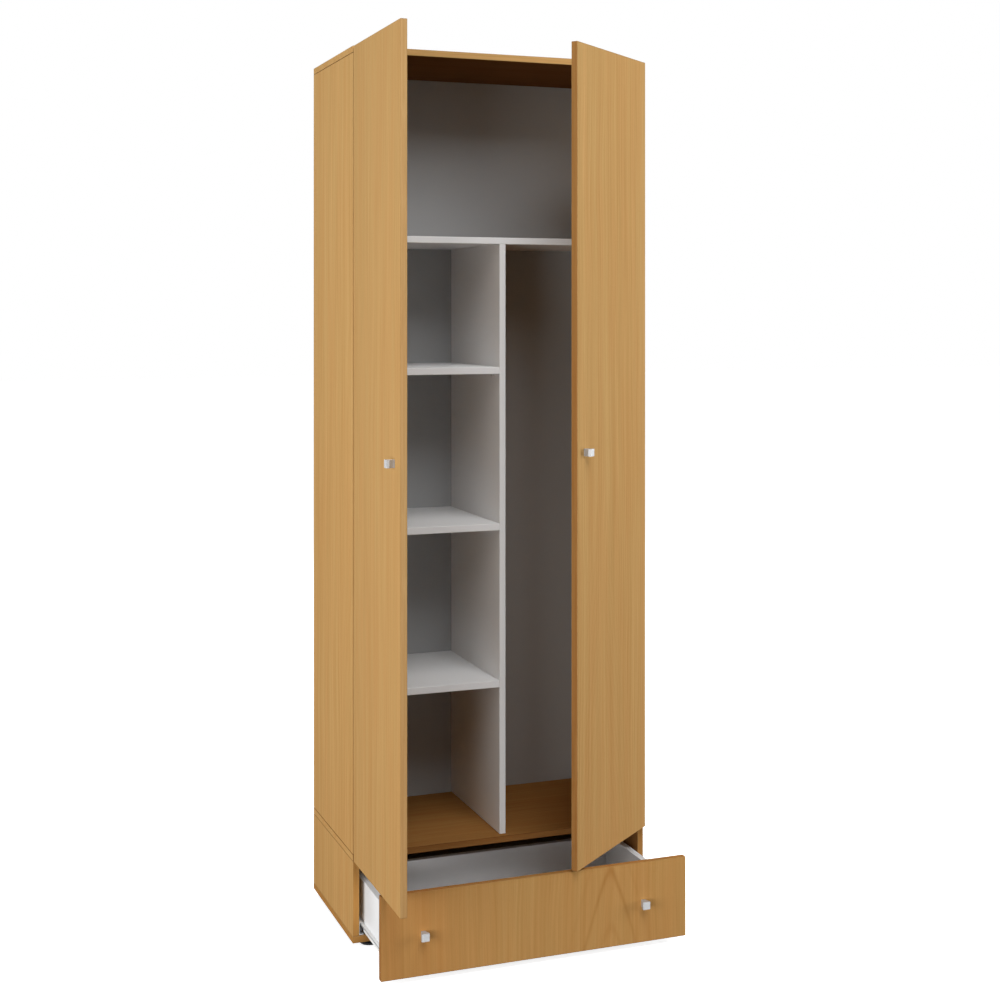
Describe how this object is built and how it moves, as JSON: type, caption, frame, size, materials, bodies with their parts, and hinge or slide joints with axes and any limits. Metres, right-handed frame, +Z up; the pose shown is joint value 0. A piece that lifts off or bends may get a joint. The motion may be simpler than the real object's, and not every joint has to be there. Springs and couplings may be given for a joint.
{
  "type": "broom cupboard",
  "caption": "Tall beech-finish broom cupboard with hinged doors, a hat shelf, a centre divider with shelves, and a drawer below on roller runners.",
  "frame": {"origin": "centre of the bounding box's base at floor level, with the left door square open, the right door ajar and the drawer out; 345.5 mm to the right of the carcass's left face and 1.85 mm behind its front plane", "axes": "+X to the right seen from the front, +Y to the back, +Z up"},
  "size_m": [0.729, 0.7226, 2],
  "materials": {
    "beech_laminate": "satin beech-pattern laminate on particle board, grain upright",
    "white_board": "matt white melamine on particle board",
    "back_board": "white-faced thin fibreboard",
    "satin_metal": "satin nickel",
    "hinge_steel": "nickel-plated steel",
    "runner_steel": "white epoxy coat on folded steel",
    "wheel_plastic": "dark grey plastic",
    "glide_plastic": "black plastic"
  },
  "bodies": {
    "carcass": {"bottom_panel": "beech_laminate", "middle_panel": "beech_laminate", "top_panel": "beech_laminate", "lower_left_side": "beech_laminate", "lower_right_side": "beech_laminate", "upper_left_side": "beech_laminate", "upper_right_side": "beech_laminate", "lower_back_panel": "back_board", "upper_back_panel": "back_board", "hat_shelf": "white_board", "centre_divider": "white_board", "low_shelf": "white_board", "mid_shelf": "white_board", "high_shelf": "white_board", "glide_front_left": "glide_plastic", "glide_front_right": "glide_plastic", "glide_rear_left": "glide_plastic", "glide_rear_right": "glide_plastic", "left_cabinet_rail": "runner_steel", "right_cabinet_rail": "runner_steel", "hinge_arm_left_bottom": "hinge_steel", "hinge_arm_left_middle": "hinge_steel", "hinge_arm_left_top": "hinge_steel", "hinge_arm_right_bottom": "hinge_steel", "hinge_arm_right_middle": "hinge_steel", "hinge_arm_right_top": "hinge_steel"},
    "left_door": {"left_door": "beech_laminate", "left_door_knob": "satin_metal", "hinge_cup_left_bottom": "hinge_steel", "hinge_cup_left_middle": "hinge_steel", "hinge_cup_left_top": "hinge_steel"},
    "right_door": {"right_door": "beech_laminate", "right_door_knob": "satin_metal", "hinge_cup_right_bottom": "hinge_steel", "hinge_cup_right_middle": "hinge_steel", "hinge_cup_right_top": "hinge_steel"},
    "left_links": {"hinge_link_left_bottom": "hinge_steel", "hinge_link_left_middle": "hinge_steel", "hinge_link_left_top": "hinge_steel"},
    "right_links": {"hinge_link_right_bottom": "hinge_steel", "hinge_link_right_middle": "hinge_steel", "hinge_link_right_top": "hinge_steel"},
    "drawer": {"drawer_front": "beech_laminate", "drawer_left_side": "white_board", "drawer_right_side": "white_board", "drawer_back": "white_board", "drawer_bottom": "back_board", "drawer_left_knob": "satin_metal", "drawer_right_knob": "satin_metal", "left_drawer_rail": "runner_steel", "right_drawer_rail": "runner_steel"},
    "cabinet_wheel_left": {"runner_wheel_cabinet_left": "wheel_plastic"},
    "cabinet_wheel_right": {"runner_wheel_cabinet_right": "wheel_plastic"},
    "drawer_wheel_left": {"runner_wheel_drawer_left": "wheel_plastic"},
    "drawer_wheel_right": {"runner_wheel_drawer_right": "wheel_plastic"}
  },
  "joints": [
    {"name": "left_door_hinge", "type": "hinge", "parent": "carcass", "child": "left_door", "pos_m": [-0.3405, -0.01385, 1.097], "axis": [0, 0, 1], "range_deg": [-20, 90]},
    {"name": "right_door_hinge", "type": "hinge", "parent": "carcass", "child": "right_door", "pos_m": [0.357, -0.01385, 1.097], "axis": [0, 0, 1], "range_deg": [-39.7, 70.3]},
    {"name": "left_link_pivot", "type": "hinge", "parent": "carcass", "child": "left_links", "pos_m": [-0.3166, -0.00965, 1.097], "axis": [0, 0, 1], "range_deg": [-40, 9]},
    {"name": "right_link_pivot", "type": "hinge", "parent": "carcass", "child": "right_links", "pos_m": [0.3331, -0.00965, 1.097], "axis": [0, 0, 1], "range_deg": [-31, 18]},
    {"name": "drawer_slide", "type": "slide", "parent": "carcass", "child": "drawer", "axis": [0, -1, 0], "range_m": [-0.205, 0.055]},
    {"name": "cabinet_wheel_left_spin", "type": "hinge", "parent": "carcass", "child": "cabinet_wheel_left", "pos_m": [-0.3257, 0.01215, 0.04], "axis": [1, 0, 0], "range_deg": [-1180, 320]},
    {"name": "cabinet_wheel_right_spin", "type": "hinge", "parent": "carcass", "child": "cabinet_wheel_right", "pos_m": [0.3447, 0.01215, 0.04], "axis": [1, 0, 0], "range_deg": [-1180, 320]},
    {"name": "drawer_wheel_left_spin", "type": "hinge", "parent": "drawer", "child": "drawer_wheel_left", "pos_m": [-0.3223, 0.11815, 0.04], "axis": [1, 0, 0], "range_deg": [-1180, 320]},
    {"name": "drawer_wheel_right_spin", "type": "hinge", "parent": "drawer", "child": "drawer_wheel_right", "pos_m": [0.3413, 0.11815, 0.04], "axis": [1, 0, 0], "range_deg": [-1180, 320]}
  ],
  "couplings": [
    {"joint": "left_link_pivot", "follows": "left_door_hinge", "ratio": -0.44},
    {"joint": "right_link_pivot", "follows": "right_door_hinge", "ratio": -0.44},
    {"joint": "cabinet_wheel_left_spin", "follows": "drawer_slide", "rad_per_m": 100},
    {"joint": "cabinet_wheel_right_spin", "follows": "drawer_slide", "rad_per_m": 100},
    {"joint": "drawer_wheel_left_spin", "follows": "drawer_slide", "rad_per_m": 100},
    {"joint": "drawer_wheel_right_spin", "follows": "drawer_slide", "rad_per_m": 100}
  ]
}
